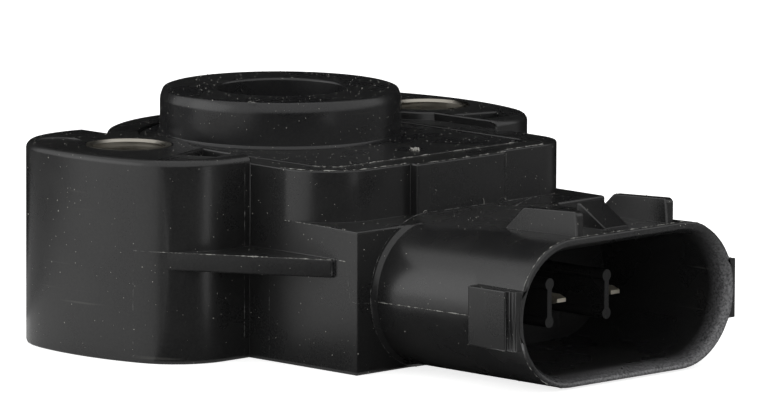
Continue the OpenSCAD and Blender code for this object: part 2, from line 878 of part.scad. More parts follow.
// Height and angle along the spring's wire, with a short leg bent axially at each end
function spring_end_angle() = spring_angle + 360 * spring_turns;
function spring_path() =
    let (rise = (spring_high - spring_low) / (360 * spring_turns), step = 360 / ring_steps)
    concat(
        [for (s = [1, 0.5]) [spring_angle - leg_bend, spring_low - leg_drop * s]],
        [for (b = [60, 30]) [spring_angle - leg_bend * sin(b), spring_low - leg_drop / 3 * (1 - cos(b))]],
        [for (a = [0:step:360 * spring_turns]) [spring_angle + a, spring_low + a * rise]],
        [for (b = [30, 60]) [spring_end_angle() + leg_bend * sin(b),
                             spring_high + leg_drop / 3 * (1 - cos(b))]],
        [for (s = [0.5, 1]) [spring_end_angle() + leg_bend, spring_high + leg_drop * s]]);
function on_spring(p) = [spring_r * cos(p[0]), spring_r * sin(p[0]), p[1]];
function unit(v) = v / norm(v);

module spring_leg_hole(z, height, angle) {
    translate([spring_r * cos(angle), spring_r * sin(angle), z])
        cylinder(h = height, r = leg_hole_r, $fn = fine_fn);
}

// The wire is one tube swept along the path, with its rings turned to the path
module return_spring() {
    path = [for (p = spring_path()) on_spring(p)];
    angles = [for (p = spring_path()) p[0]];
    count = len(path);
    rings = [for (i = [0:count - 1])
        let (along = unit(path[min(i + 1, count - 1)] - path[max(i - 1, 0)]),
             out = [cos(angles[i]), sin(angles[i]), 0],
             side = unit(cross(along, out)),
             up = cross(side, along))
        for (k = [0:wire_sides - 1])
            path[i] + wire_r * (cos(360 * k / wire_sides) * up + sin(360 * k / wire_sides) * side)];
    walls = [for (i = [0:count - 2], k = [0:wire_sides - 1])
        [i * wire_sides + k, i * wire_sides + (k + 1) % wire_sides,
         (i + 1) * wire_sides + (k + 1) % wire_sides, (i + 1) * wire_sides + k]];
    caps = [[for (k = [wire_sides - 1:-1:0]) k],
            [for (k = [0:wire_sides - 1]) (count - 1) * wire_sides + k]];
    color(spring_steel) polyhedron(rings, concat(walls, caps));
}

housing();
collar_cover();
cover_seal();
left_bushing();
right_bushing();
terminal_1();
terminal_2();
terminal_3();
element_board();
resistive_track();
collector_track();
trace_1();
trace_2();
trace_3();
solder_1();
solder_2();
solder_3();
rotor();
wiper_contact();
shaft_seal();
drive_clip();
return_spring();
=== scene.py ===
import math

import bmesh
import bpy
from mathutils import Matrix, Vector


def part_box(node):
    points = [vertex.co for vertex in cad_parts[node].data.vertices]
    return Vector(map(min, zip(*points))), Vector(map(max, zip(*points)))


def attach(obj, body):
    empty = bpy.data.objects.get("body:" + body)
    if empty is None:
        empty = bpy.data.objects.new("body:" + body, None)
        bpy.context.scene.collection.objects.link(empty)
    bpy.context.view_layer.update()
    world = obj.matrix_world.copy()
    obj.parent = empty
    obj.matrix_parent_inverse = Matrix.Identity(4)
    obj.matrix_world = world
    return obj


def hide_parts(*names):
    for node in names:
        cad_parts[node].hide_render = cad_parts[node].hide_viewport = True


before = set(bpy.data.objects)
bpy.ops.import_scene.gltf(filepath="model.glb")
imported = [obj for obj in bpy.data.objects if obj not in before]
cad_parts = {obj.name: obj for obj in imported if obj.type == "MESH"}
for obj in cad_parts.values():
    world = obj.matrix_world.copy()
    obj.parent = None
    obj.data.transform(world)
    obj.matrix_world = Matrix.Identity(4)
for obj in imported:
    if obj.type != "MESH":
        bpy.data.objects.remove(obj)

bl_info = {
    "name": "Throttle Position Sensor",
    "version": (1, 0, 0),
    "blender": (4, 5, 0),
    "location": "View3D > Sidebar > Sensor",
    "description": "Dresses the sensor's solids with moulded, turned and printed finishes",
    "category": "Object",
}

MM = 0.001

# The body that carries every new piece
HOUSING = "housing"


# Sizes that come from the frame, in millimetres

def low(node):
    """Lowest corner of a node in millimetres."""
    return Vector(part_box(node)[0]) / MM


def high(node):
    """Highest corner of a node in millimetres."""
    return Vector(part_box(node)[1]) / MM


RIM_Z = high("cover_seal").z + 0.35
COVER_Z = high("cover_seal").z + 0.3
COLLAR_TOP = high("collar_cover").z
SEAM_HALF_W = high("cover_seal").x
SEAM_FRONT = low("cover_seal").y
MOUTH_Y = low("housing").y


# Places on the housing that its box doesn't give, in millimetres

# The oval shell and the socket in it: middle, half the distance between the two centres of
# the oval, radii and heights
SHELL_X = -0.15
SHELL_HALF = 7.1
SHELL_R = 6.6
SHELL_Z = 6.8
SOCKET_Z = 6.7
SOCKET_R = 6.1

# The lower block, the pad above it and the body's front with its left corner
BLOCK_FRONT = -25.77
BLOCK_SIDE = -15.78
BLOCK_TOP = 12.9
PAD_FRONT = -22.95
PAD_LEFT = -5.4
PAD_RIGHT = 5.82
BODY_FRONT = -21.97
BODY_CORNER = (-10.28, -16.5)
BODY_CORNER_R = 5.45

# The left ear, the web between ear and block, the screw holes and the collar's bore
EAR_FRONT = -12.2
EAR_CORNER = (-18.753, -5.7)
EAR_CORNER_R = 6.5
WEB_TOP = 10.1
HOLE_X = 19.05
BUSHING_R = 4.2
BORE_R = 6.12

# Four corners of the patch of crumbs on the cover
CRUMB_PATCH = ((0.3, -16.7), (0.9, -17.1), (1.7, -16.0), (1.1, -15.6))

# Height of the cards on the floor, and corners of the bright strip among them
CARD_Z = 0.3
STRIP = ((-18.8, -37), (-14.5, -91), (-5, -121), (5, -148),
         (19, -148), (5, -121), (-7.5, -91), (-16.3, -37))

# How sharp an edge has to be, in degrees, to be rounded
MOULDED_CORNER = 38
COLLAR_CORNER = 12

# Height of the grain that roughens a skin, in millimetres
GRAIN_DEPTH = 0.02


# Settings that a user would change

class CameraSettings(bpy.types.PropertyGroup):
    """The camera's place and lens, at the photograph's viewing angle."""

    yaw: bpy.props.FloatProperty(
        name="Yaw", description="Turn of the view about the collar axis", unit="ROTATION",
        default=math.radians(44.45))
    pitch: bpy.props.FloatProperty(
        name="Pitch", description="How far the camera looks down", unit="ROTATION",
        default=math.radians(8.47))
    roll: bpy.props.FloatProperty(
        name="Roll", description="Turn of the picture about the line of sight", unit="ROTATION",
        default=math.radians(0.18))
    distance: bpy.props.FloatProperty(
        name="Distance", description="Distance of the camera from the aimed point",
        unit="LENGTH", default=0.8202)
    aim_height: bpy.props.FloatProperty(
        name="Aim height", description="Height of the aimed point on the collar axis",
        unit="LENGTH", default=0.012207)
    side_angle: bpy.props.FloatProperty(
        name="Side angle", description="Turn that puts the part left of the middle",
        unit="ROTATION", default=0.011844)
    drop_angle: bpy.props.FloatProperty(
        name="Drop angle", description="Turn that puts the part above the middle",
        unit="ROTATION", default=0.002017)
    lens: bpy.props.FloatProperty(
        name="Lens", description="Focal length on a 36 mm sensor", unit="CAMERA",
        default=418.6)


class StageSettings(bpy.types.PropertyGroup):
    """The floor, the sky, the lamp and the cards."""

    floor_size: bpy.props.FloatProperty(
        name="Floor size", description="Side of the square floor", unit="LENGTH", default=3.0)
    floor_colour: bpy.props.StringProperty(
        name="Floor colour", description="sRGB hex colour of the floor", default="EDEDEC")
    floor_lift: bpy.props.FloatProperty(
        name="Floor lift", description="White added to the floor for the camera", default=0.8)
    mirror_lift: bpy.props.FloatProperty(
        name="Mirror lift", description="White added to the floor in reflections",
        default=0.27)
    sky_level: bpy.props.FloatProperty(
        name="Sky level", description="Strength of the even light from all round", default=0.7)
    window_power: bpy.props.FloatProperty(
        name="Window power", description="Power of the soft window on the left",
        unit="POWER", default=0.6)
    back_start: bpy.props.FloatProperty(
        name="Back start", description="Direction where the card behind begins",
        unit="ROTATION", default=math.radians(-18))
    window_start: bpy.props.FloatProperty(
        name="Window start", description="Direction where the window begins",
        unit="ROTATION", default=math.radians(100))
    bright_start: bpy.props.FloatProperty(
        name="Bright floor start", description="Direction where the bright floor begins",
        unit="ROTATION", default=math.radians(140))
    window_end: bpy.props.FloatProperty(
        name="Window end", description="Direction where the window ends",
        unit="ROTATION", default=math.radians(200))
    shade_end: bpy.props.FloatProperty(
        name="Shade end", description="Direction where the darkest card in front ends",
        unit="ROTATION", default=math.radians(262))
    tent_radius: bpy.props.FloatProperty(
        name="Tent radius", description="Radius of the ring of cards", unit="LENGTH",
        default=0.6)
    near_radius: bpy.props.FloatProperty(
        name="Near radius", description="Where the cards on the floor begin", unit="LENGTH",
        default=0.02)
    side_card: bpy.props.StringProperty(
        name="Side card", description="sRGB hex colour of the floor at the far left",
        default="BCBCBC")
    bright_reach: bpy.props.FloatProperty(
        name="Bright reach", description="How far behind the part the floor stays bright",
        unit="LENGTH", default=0.115)
    back_height: bpy.props.FloatProperty(
        name="Back height", description="Height of the card behind", unit="LENGTH", default=1.2)
    front_height: bpy.props.FloatProperty(
        name="Front height", description="Height of the cards in front", unit="LENGTH",
        default=0.12)
    shade_card: bpy.props.StringProperty(
        name="Shade card", description="sRGB hex colour of the darkest card in front",
        default="484848")
    grey_card: bpy.props.StringProperty(
        name="Grey card", description="sRGB hex colour of the card on the right",
        default="9C9C9C")
    strip_glow: bpy.props.FloatProperty(
        name="Strip glow", description="Light the narrow strip in front gives of itself",
        default=3.6)
    strip_card: bpy.props.StringProperty(
        name="Strip card", description="sRGB hex colour of the narrow strip in front",
        default="F0F0F0")
    black_card: bpy.props.StringProperty(
        name="Black card", description="sRGB hex colour of the card behind", default="101010")


class PlasticSettings(bpy.types.PropertyGroup):
    """The black moulded plastic of the housing and the cover."""

    housing_colour: bpy.props.StringProperty(
        name="Housing colour", description="sRGB hex colour of the housing", default="1D1D1E")
    cover_colour: bpy.props.StringProperty(
        name="Cover colour", description="sRGB hex colour of the cover", default="1B1B1D")
    haze_colour: bpy.props.StringProperty(
        name="Haze colour", description="sRGB hex colour of handling haze", default="323231")
    dust_colour: bpy.props.StringProperty(
        name="Dust colour", description="sRGB hex colour of dust specks", default="C4C3BC")
    edge_radius: bpy.props.FloatProperty(
        name="Edge radius", description="Rounding of the moulded edges", unit="LENGTH",
        default=0.0002)
    lip_radius: bpy.props.FloatProperty(
        name="Lip radius", description="Rounding of the socket's mouth", unit="LENGTH",
        default=0.00018)
    # Colour of the painted highlight on the socket's lip and lead-in
    lip_highlight_colour: bpy.props.StringProperty(
        name="Lip highlight colour", description="sRGB hex colour of the painted highlight on the socket's lip",
        default="88888A")


class FlashSettings(bpy.types.PropertyGroup):
    """Thin moulding flash, crumbs and dust."""

    flash_colour: bpy.props.StringProperty(
        name="Flash colour", description="sRGB hex colour of torn flash", default="6A6A67")
    thickness: bpy.props.FloatProperty(
        name="Thickness", description="Radius of the flash's thread", unit="LENGTH",
        default=0.00005)
    wander: bpy.props.FloatProperty(
        name="Wander", description="How far the thread strays from its edge", unit="LENGTH",
        default=0.00009)
    step: bpy.props.FloatProperty(
        name="Step", description="Distance between its ragged teeth", unit="LENGTH",
        default=0.00014)
    speck_density: bpy.props.FloatProperty(
        name="Speck density", description="Specks on a square metre of surface",
        default=420000.0)
    speck_size: bpy.props.FloatProperty(
        name="Speck size", description="Size of a speck", unit="LENGTH", default=0.000052)
    crumb_density: bpy.props.FloatProperty(
        name="Crumb density", description="Crumbs on a square metre of the crumb patch",
        default=3.2e7)
    seed: bpy.props.IntProperty(
        name="Seed", description="Seed of the scatter", default=7)


# Small helpers

def linear(hex_colour):
    """Linear RGBA of an sRGB hex colour."""
    parts = [int(hex_colour[i:i + 2], 16) / 255 for i in (0, 2, 4)]
    parts = [c / 12.92 if c <= 0.04045 else ((c + 0.055) / 1.055) ** 2.4 for c in parts]
    return (*parts, 1.0)


def add_node(tree, kind, settings=None, inputs=None):
    """Adds a node with its settings. Each input is a value, or an output socket to link."""
    node = tree.nodes.new(kind)
    for key, value in (settings or {}).items():
        setattr(node, key, value)
    for key, value in (inputs or {}).items():
        socket = node.inputs[key]
        if isinstance(value, bpy.types.NodeSocket):
            tree.links.new(value, socket)
        else:
            socket.default_value = value
    return node


def new_material(name):
    """A material with an empty tree, its shader and its output."""
    material = bpy.data.materials.new(name)
    material.use_nodes = True
    tree = material.node_tree
    tree.nodes.clear()
    shader = add_node(tree, "ShaderNodeBsdfPrincipled")
    output = add_node(tree, "ShaderNodeOutputMaterial")
    tree.links.new(shader.outputs["BSDF"], output.inputs["Surface"])
    return material, tree, shader


def per_metre(size_mm):
    """Texture scale that gives features of a size in millimetres on Object coordinates."""
    return 1 / (size_mm * MM)


def maths(tree, operation, *values):
    """The result of an operation on numbers or sockets."""
    return add_node(tree, "ShaderNodeMath", {"operation": operation},
                    dict(enumerate(values))).outputs["Value"]


def ramp(tree, value, start, end, first, last):
    """A value carried from one range to another and held at its ends."""
    return add_node(tree, "ShaderNodeMapRange", inputs={
        "Value": value, "From Min": start, "From Max": end,
        "To Min": first, "To Max": last}).outputs["Result"]


def blend(tree, factor, one, other):
    """A colour between two colours."""
    return add_node(tree, "ShaderNodeMix", {"data_type": "RGBA"}, {
        "Factor": factor, "A": one, "B": other}).outputs["Result"]


def noise(tree, place, size_mm, detail, roughness=0.5):
    """Cloudy noise with features of a size in millimetres."""
    return add_node(tree, "ShaderNodeTexNoise", inputs={
        "Vector": place, "Scale": per_metre(size_mm), "Detail": detail,
        "Roughness": roughness}).outputs["Fac"]


def tint(tree, shader, pattern, dark, bright):
    """Colours a shader by a pattern."""
    tone = blend(tree, pattern, linear(dark), linear(bright))
    tree.links.new(tone, shader.inputs["Base Color"])


def roughen(tree, shader, pattern, glossy, dull):
    """Sets a shader's roughness by a pattern."""
    rough = ramp(tree, pattern, 0.3, 0.7, glossy, dull)
    tree.links.new(rough, shader.inputs["Roughness"])


def emboss(tree, shader, pattern, strength):
    """Raises a shader's surface by a pattern."""
    bump = add_node(tree, "ShaderNodeBump", inputs={
        "Height": pattern, "Strength": strength, "Distance": GRAIN_DEPTH * MM})
    tree.links.new(bump.outputs["Normal"], shader.inputs["Normal"])


def object_of(mesh, name, material, body):
    """Links a finished mesh as a piece that rides on a body."""
    piece = bpy.data.objects.new(name, mesh)
    bpy.context.collection.objects.link(piece)
    mesh.materials.clear()
    mesh.materials.append(material)
    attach(piece, body)
    return piece


# Finishes

def moulded_nylon(name, colour, haze, dust, lip_highlight=None):
    """Glass-filled nylon, injection moulded: a black satin skin with fine fibre grain,
    faint haze from handling, hairline scratches, pale dust and a painted highlight on the
    socket's lip."""
    material, tree, shader = new_material(name)
    place = add_node(tree, "ShaderNodeTexCoord").outputs["Object"]
    cloud = noise(tree, place, 5.0, 2.0)
    fibre = noise(tree, place, 0.22, 2.0, 0.6)
    haze_sum = add_node(tree, "ShaderNodeMath", {"operation": "ADD", "use_clamp": True}, {
        0: ramp(tree, cloud, 0.25, 0.8, 0.0, 0.3), 1: ramp(tree, fibre, 0.35, 0.75, 0.0, 0.4)})
    skin = blend(tree, haze_sum.outputs["Value"], linear(colour), linear(haze))
    marks = maths(tree, "MAXIMUM", dust_mask(tree, place), scratch_mask(tree, place))
    skin = blend(tree, marks, skin, linear(dust))
    # Painted highlight on the socket's lip and lead-in, strongest at the right and the bottom
    if lip_highlight:
        skin = blend(tree, lip_highlight_mask(tree, place, fibre), skin, linear(lip_highlight))
    tree.links.new(skin, shader.inputs["Base Color"])
    roughen(tree, shader, cloud, 0.25, 0.31)
    shader.inputs["IOR"].default_value = 1.5
    emboss(tree, shader, fibre, 0.25)
    return material


def lip_highlight_mask(tree, place, grain):
    """Painted highlight: a pale band on the lip of the socket and just inside it, broken up by
    the grain and strongest at the right and the bottom, where the lead-in faces the light."""
    parts = add_node(tree, "ShaderNodeSeparateXYZ", inputs={"Vector": place}).outputs
    side = maths(tree, "SUBTRACT", parts["X"], SHELL_X * MM)
    side = maths(tree, "SUBTRACT", maths(tree, "ABSOLUTE", side), SHELL_HALF * MM)
    reach = add_node(tree, "ShaderNodeCombineXYZ", inputs={
        "X": maths(tree, "MAXIMUM", side, 0.0),
        "Y": maths(tree, "SUBTRACT", parts["Z"], SOCKET_Z * MM)})
    reach = add_node(tree, "ShaderNodeVectorMath", {"operation": "LENGTH"}, {
        0: reach.outputs["Vector"]})
    right_and_down = add_node(tree, "ShaderNodeVectorMath", {"operation": "DOT_PRODUCT"}, {
        0: place, 1: (per_metre(13), 0.0, -per_metre(6))})
    band = ramp(tree, reach.outputs["Value"], (SHELL_R - 0.05) * MM, (SOCKET_R + 0.3) * MM,
                0.0, 1.0)
    for mask in (ramp(tree, parts["Y"], (MOUTH_Y + 2.2) * MM, (MOUTH_Y + 0.3) * MM, 0.0, 1.0),
                 ramp(tree, grain, 0.35, 0.65, 0.25, 1.0),
                 ramp(tree, right_and_down.outputs["Value"], -1.3, -0.2, 0.08, 1.0)):
        band = maths(tree, "MULTIPLY", band, mask)
    return band


def dust_mask(tree, place):
    """Pale specks up to 0.15 mm wide, one to a few on each square centimetre."""
    cell = add_node(tree, "ShaderNodeTexVoronoi", inputs={
        "Vector": place, "Scale": per_metre(1.0), "Randomness": 1.0})
    pick = add_node(tree, "ShaderNodeSeparateColor", inputs={"Color": cell.outputs["Color"]})
    size = ramp(tree, pick.outputs["Red"], 0.72, 1.0, 0.0, 0.075)
    speck = maths(tree, "LESS_THAN", cell.outputs["Distance"], size)
    return maths(tree, "MULTIPLY", speck, pick.outputs["Green"])


def scratch_mask(tree, place):
    """Hairline scratches. Real ones are too fine for the picture, so these are drawn wider
    and faint."""
    turned = add_node(tree, "ShaderNodeMapping", inputs={
        "Vector": place, "Rotation": (0.5, 0.12, 0.3), "Scale": (0.12, 0.12, 3.5)})
    lines = noise(tree, turned.outputs["Vector"], 1.6, 1.0)
    return ramp(tree, lines, 0.72, 0.8, 0.0, 0.06)


def turned_steel(name):
    """Zinc-plated steel, turned: bright, with fine rings that stretch each highlight."""
    material, tree, shader = new_material(name)
    place = add_node(tree, "ShaderNodeTexCoord").outputs["Object"]
    squeezed = add_node(tree, "ShaderNodeMapping", inputs={
        "Vector": place, "Scale": (0.05, 0.05, 1.0)})
    rings = noise(tree, squeezed.outputs["Vector"], 0.5, 4.0)
    tint(tree, shader, rings, "5A544A", "D6D2C8")
    roughen(tree, shader, rings, 0.2, 0.42)
    shader.inputs["Metallic"].default_value = 1.0
    emboss(tree, shader, rings, 0.4)
    return material


def plated_metal(name, dark, bright, gloss):
    """Stamped and plated strip or drawn wire: smooth metal with faint clouds of tarnish."""
    material, tree, shader = new_material(name)
    place = add_node(tree, "ShaderNodeTexCoord").outputs["Object"]
    cloud = noise(tree, place, 0.6, 3.0)
    tint(tree, shader, cloud, dark, bright)
    roughen(tree, shader, cloud, gloss - 0.05, gloss + 0.1)
    shader.inputs["Metallic"].default_value = 1.0
    return material


def matt_skin(name, dark, bright, grain_mm, gloss):
    """A matt non-metal skin, such as printed film, sealant, rubber or fired ceramic."""
    material, tree, shader = new_material(name)
    place = add_node(tree, "ShaderNodeTexCoord").outputs["Object"]
    grain = noise(tree, place, grain_mm, 4.0)
    tint(tree, shader, grain, dark, bright)
    roughen(tree, shader, grain, gloss - 0.06, gloss + 0.06)
    emboss(tree, shader, grain, 0.3)
    return material


# Pieces

def merged_copy(node, name):
    """A copy of a CAD node's mesh, joined, with small flat faces merged into large ones."""
    join_reach = 0.012 * MM
    flat_angle = math.radians(0.6)
    form = bmesh.new()
    form.from_mesh(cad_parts[node].data)
    bmesh.ops.remove_doubles(form, verts=form.verts, dist=join_reach)
    bmesh.ops.dissolve_limit(form, angle_limit=flat_angle, verts=form.verts, edges=form.edges)
    bmesh.ops.triangulate(form, faces=[face for face in form.faces if len(face.verts) > 4])
    for face in form.faces:
        face.smooth = True
    mesh = bpy.data.meshes.new(name)
    form.to_mesh(mesh)
    form.free()
    if "custom_normal" in mesh.attributes:
        mesh.attributes.remove(mesh.attributes["custom_normal"])
    if not mesh.polygons:
        raise RuntimeError(f"{node} gave no faces")
    return mesh


def socket_reach(x, z):
    """Distance in millimetres from the line between the two centres of the socket."""
    return math.hypot(max(abs(x - SHELL_X) - SHELL_HALF, 0), z - SOCKET_Z)


def on_lip(corner):
    """Whether a vertex lies on the inner edge of the socket's mouth."""
    x, y, z = corner.co / MM
    return abs(y - MOUTH_Y) < 0.02 and abs(socket_reach(x, z) - SOCKET_R) < 0.1


def in_socket(corner):
    """Whether a vertex lies in the hollow of the socket, where the dividers end crisply."""
    x, y, z = corner.co / MM
    return y < BLOCK_FRONT and socket_reach(x, z) < SOCKET_R - 1


def weigh_edges(mesh, radius, lip_radius, sharp):
    """Gives each edge sharper than an angle in degrees its share of the widest rounding:
    little in an inner corner, and less where the edges beside it leave no room."""
    room_share = 0.4
    inner_share = 0.2
    same_line = 0.85
    widest = max(radius, lip_radius)
    form = bmesh.new()
    form.from_mesh(mesh)
    weight = form.edges.layers.float.new("bevel_weight_edge")
    for edge in form.edges:
        if edge.calc_face_angle(0) < math.radians(sharp):
            continue
        if lip_radius and all(in_socket(corner) for corner in edge.verts):
            edge.smooth = False
            continue
        if lip_radius and all(on_lip(corner) for corner in edge.verts):
            edge[weight] = lip_radius / widest
            continue
        along = (edge.verts[1].co - edge.verts[0].co).normalized()
        room = (radius if edge.is_convex else radius * inner_share) / room_share
        for corner in edge.verts:
            for other in corner.link_edges:
                way = other.other_vert(corner).co - corner.co
                if other is not edge and abs(way.normalized().dot(along)) < same_line:
                    room = min(room, way.length)
        edge[weight] = min(1.0, room * room_share / widest)
    form.to_mesh(mesh)
    form.free()


def soften_edges(piece, radius, lip_radius, sharp):
    """Rounds the moulded edges, which catch the light as thin lines."""
    weigh_edges(piece.data, radius, lip_radius, sharp)
    bevel = piece.modifiers.new("moulded_edges", "BEVEL")
    bevel.limit_method = "WEIGHT"
    bevel.width = max(radius, lip_radius)
    bevel.segments = 2
    bevel.use_clamp_overlap = False
    flat = piece.modifiers.new("flat_faces_stay_flat", "WEIGHTED_NORMAL")
    flat.keep_sharp = True


def new_group(name, inputs):
    """A geometry node group with one geometry in and out, and further named inputs."""
    group = bpy.data.node_groups.new(name, "GeometryNodeTree")
    group.interface.new_socket("Geometry", in_out="INPUT", socket_type="NodeSocketGeometry")
    for key, kind in inputs.items():
        group.interface.new_socket(key, in_out="INPUT", socket_type="NodeSocket" + kind)
    group.interface.new_socket("Geometry", in_out="OUTPUT", socket_type="NodeSocketGeometry")
    return group


def finish_group(group, geometry, material):
    """Ends a group with real geometry that carries its material."""
    real = add_node(group, "GeometryNodeRealizeInstances", inputs={"Geometry": geometry})
    coloured = add_node(group, "GeometryNodeSetMaterial", inputs={
        "Geometry": real.outputs["Geometry"], "Material": material})
    add_node(group, "NodeGroupOutput", inputs={"Geometry": coloured.outputs["Geometry"]})


def thread_group():
    """Sweeps a ragged thread along every edge of its mesh."""
    group = new_group("ragged_thread", {
        "Step": "Float", "Radius": "Float", "Wander": "Float", "Seed": "Float",
        "Material": "Material"})
    given = add_node(group, "NodeGroupInput").outputs
    curve = add_node(group, "GeometryNodeMeshToCurve", inputs={"Mesh": given["Geometry"]})
    even = add_node(group, "GeometryNodeResampleCurve", {"mode": "LENGTH"}, {
        "Curve": curve.outputs["Curve"], "Length": given["Step"]})
    stray = add_node(group, "ShaderNodeTexNoise", {"noise_dimensions": "4D"}, {
        "W": given["Seed"], "Scale": per_metre(0.45), "Detail": 3.0})
    centred = add_node(group, "ShaderNodeVectorMath", {"operation": "SUBTRACT"}, {
        0: stray.outputs["Color"], 1: (0.5, 0.5, 0.5)})
    offset = add_node(group, "ShaderNodeVectorMath", {"operation": "SCALE"}, {
        0: centred.outputs["Vector"], "Scale": given["Wander"]})
    moved = add_node(group, "GeometryNodeSetPosition", inputs={
        "Geometry": even.outputs["Curve"], "Offset": offset.outputs["Vector"]})
    teeth = add_node(group, "ShaderNodeTexNoise", {"noise_dimensions": "4D"}, {
        "W": given["Seed"], "Scale": per_metre(0.8), "Detail": 5.0, "Roughness": 0.8})
    swell = ramp(group, teeth.outputs["Fac"], 0.48, 0.68, 0.06, 2.2)
    profile = add_node(group, "GeometryNodeCurvePrimitiveCircle", inputs={
        "Resolution": 5, "Radius": given["Radius"]})
    thread = add_node(group, "GeometryNodeCurveToMesh", inputs={
        "Curve": moved.outputs["Geometry"], "Profile Curve": profile.outputs["Curve"],
        "Scale": swell, "Fill Caps": True})
    finish_group(group, thread.outputs["Mesh"], given["Material"])
    return group


def speck_group():
    """Scatters lumpy specks over the faces of its mesh."""
    group = new_group("scattered_specks", {
        "Density": "Float", "Size": "Float", "Seed": "Int", "Material": "Material"})
    given = add_node(group, "NodeGroupInput").outputs
    points = add_node(group, "GeometryNodeDistributePointsOnFaces", inputs={
        "Mesh": given["Geometry"], "Density": given["Density"], "Seed": given["Seed"]})
    speck = add_node(group, "GeometryNodeMeshIcoSphere", inputs={
        "Radius": given["Size"], "Subdivisions": 1})
    turn = add_node(group, "FunctionNodeRandomValue", {"data_type": "FLOAT_VECTOR"}, {
        1: (math.tau, math.tau, math.tau), "Seed": given["Seed"]})
    size = add_node(group, "FunctionNodeRandomValue", {"data_type": "FLOAT_VECTOR"}, {
        0: (0.12, 0.15, 0.15), 1: (1.6, 1.1, 0.9), "Seed": given["Seed"]})
    specks = add_node(group, "GeometryNodeInstanceOnPoints", inputs={
        "Points": points.outputs["Points"], "Instance": speck.outputs["Mesh"],
        "Rotation": turn.outputs["Value"], "Scale": size.outputs["Value"]})
    finish_group(group, specks.outputs["Instances"], given["Material"])
    return group


def grow(name, mesh, group, values, body):
    """Runs a node group on a mesh and keeps the result as a plain piece."""
    source = bpy.data.objects.new(name + "_source", mesh)
    bpy.context.collection.objects.link(source)
    modifier = source.modifiers.new(name, "NODES")
    modifier.node_group = group
    for item in group.interface.items_tree:
        if item.in_out == "INPUT" and item.name in values:
            modifier[item.identifier] = values[item.name]
    graph = bpy.context.evaluated_depsgraph_get()
    grown = bpy.data.meshes.new_from_object(source.evaluated_get(graph))
    bpy.data.objects.remove(source)
    if not grown.polygons:
        raise RuntimeError(f"{name} grew no faces")
    grown.name = name
    object_of(grown, name, values["Material"], body)


def line_mesh(name, paths):
    """A mesh of edges along paths of points in millimetres."""
    points = [tuple(v * MM for v in point) for path in paths for point in path]
    edges = []
    start = 0
    for path in paths:
        edges += [(start + i, start + i + 1) for i in range(len(path) - 1)]
        start += len(path)
    mesh = bpy.data.meshes.new(name)
    mesh.from_pydata(points, edges, [])
    return mesh


def arc_path(centre, radius, start, end, place):
    """Points of an arc in degrees, put in space by a function of its two coordinates."""
    steps = max(2, round(abs(end - start) / 5))
    angles = [math.radians(start + (end - start) * i / steps) for i in range(steps + 1)]
    return [place(centre[0] + radius * math.cos(a), centre[1] + radius * math.sin(a))
            for a in angles]


def dress(node, name, material, body, radius, lip_radius=0.0, sharp=MOULDED_CORNER):
    """Replaces a node by a copy with soft edges."""
    piece = object_of(merged_copy(node, name), name, material, body)
    soften_edges(piece, radius, lip_radius, sharp)
    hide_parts(node)


def coat(material, *nodes):
    """Gives CAD nodes their finish."""
    for node in nodes:
        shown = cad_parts[node]
        shown.data.materials.clear()
        shown.data.materials.append(material)


# Where the mould's parting lines leave flash, in millimetres

def stadium_path(radius, z, y, start, end):
    """Part of the shell's outline, from a direction on the right end round to the left."""
    def place(x, height):
        return (x, y, height)

    right = arc_path((SHELL_X + SHELL_HALF, z), radius, start, 90, place)
    return right + arc_path((SHELL_X - SHELL_HALF, z), radius, 90, end, place)


def flash_paths():
    """Edges where torn flash shows: body corner, seam, pad, body front, web, block, shell."""
    rim_z = RIM_Z + 0.02
    seam_r = 2

    def on_rim(x, y):
        return (x, y, rim_z)

    seam_corner = (seam_r - SEAM_HALF_W, seam_r + SEAM_FRONT)
    return [
        arc_path(BODY_CORNER, BODY_CORNER_R, 175, 270, on_rim) + [(PAD_LEFT, BODY_FRONT, rim_z)],
        arc_path(seam_corner, seam_r + 0.1, 180, 270, on_rim)
        + [(SEAM_HALF_W - seam_r, SEAM_FRONT - 0.1, rim_z)],
        [(PAD_LEFT, PAD_FRONT + 0.05, rim_z), (PAD_RIGHT - 0.02, PAD_FRONT + 0.05, rim_z)],
        [(6, BODY_FRONT + 0.02, rim_z), (11.6, BODY_FRONT + 0.02, rim_z)],
        [(-24.1, -9.45, WEB_TOP), (-16.15, -22.93, WEB_TOP)],
        [(BLOCK_SIDE, -22.95, WEB_TOP), (BLOCK_SIDE, -24.3, WEB_TOP - 0.05)],
        [(BLOCK_SIDE, -16.6, BLOCK_TOP), (BLOCK_SIDE, -22.5, BLOCK_TOP)],
        [(SHELL_X - 13.52, BLOCK_FRONT - 0.5, SHELL_Z - 0.35),
         (SHELL_X - 13.72, MOUTH_Y + 0.2, SHELL_Z - 0.1)],
    ]


def curl_paths():
    """Loose curls of flash on the collar, at the foot of the pad and on the rim."""
    def on_collar(x, y):
        return (x, y, COLLAR_TOP + 0.02)

    def on_pad(x, z):
        return (x, PAD_FRONT - 0.06, z)

    return [
        arc_path((-9.1, -5.6), 0.4, 20, 300, on_collar),
        arc_path((-4.5, BLOCK_TOP + 0.1), 0.3, -20, 150, on_pad),
        arc_path((0.9, BLOCK_TOP + 0.05), 0.8, 15, 60, on_pad),
        arc_path((2.3, BLOCK_TOP + 0.3), 0.7, -10, 40, on_pad),
        arc_path((5.3, BLOCK_TOP - 0.05), 0.62, 40, 185, on_pad),
        arc_path((11.2, RIM_Z), 0.35, -60, 100, lambda x, z: (x, -22.05, z)),
    ]


